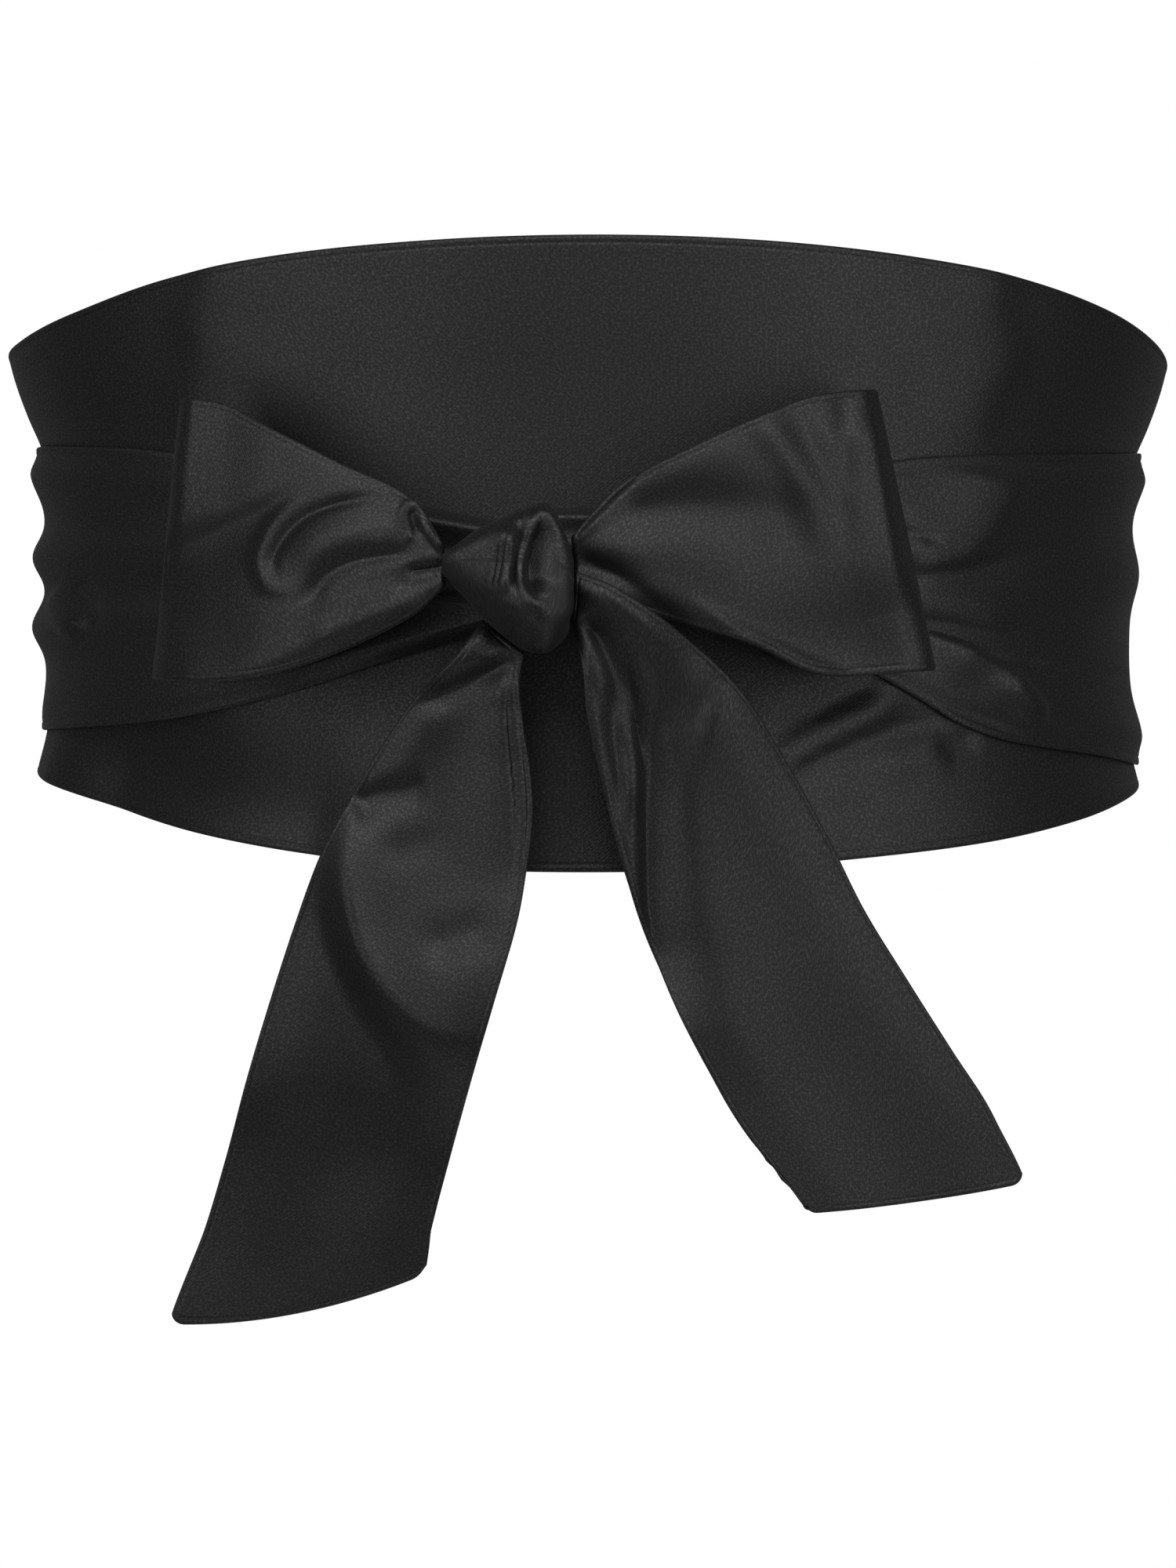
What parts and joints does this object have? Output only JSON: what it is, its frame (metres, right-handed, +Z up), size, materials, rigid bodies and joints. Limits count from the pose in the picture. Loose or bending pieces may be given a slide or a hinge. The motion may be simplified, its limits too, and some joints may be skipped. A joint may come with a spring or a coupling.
{
  "type": "tied satin waist sash",
  "caption": "Black satin waist sash with a wide shaped front panel, its ties wound round the waist and tied in front in a bow with hanging tails.",
  "frame": {"origin": "middle of the waist that the sash is worn round, at half the height of the side of the panel", "axes": "+Z up along the wearer's waist, -Y out of the front where the bow is, +X to the right as seen from the front"},
  "size_m": [0.2655, 0.2299, 0.235],
  "materials": {
    "satin": "black satin weave with a soft sheen"
  },
  "bodies": {
    "root": {"panel_left": "satin", "panel_right": "satin", "wrap_left": "satin", "wrap_right": "satin", "loop_left": "satin", "loop_right": "satin", "tail_left": "satin", "tail_right": "satin", "knot": "satin"}
  },
  "joints": []
}
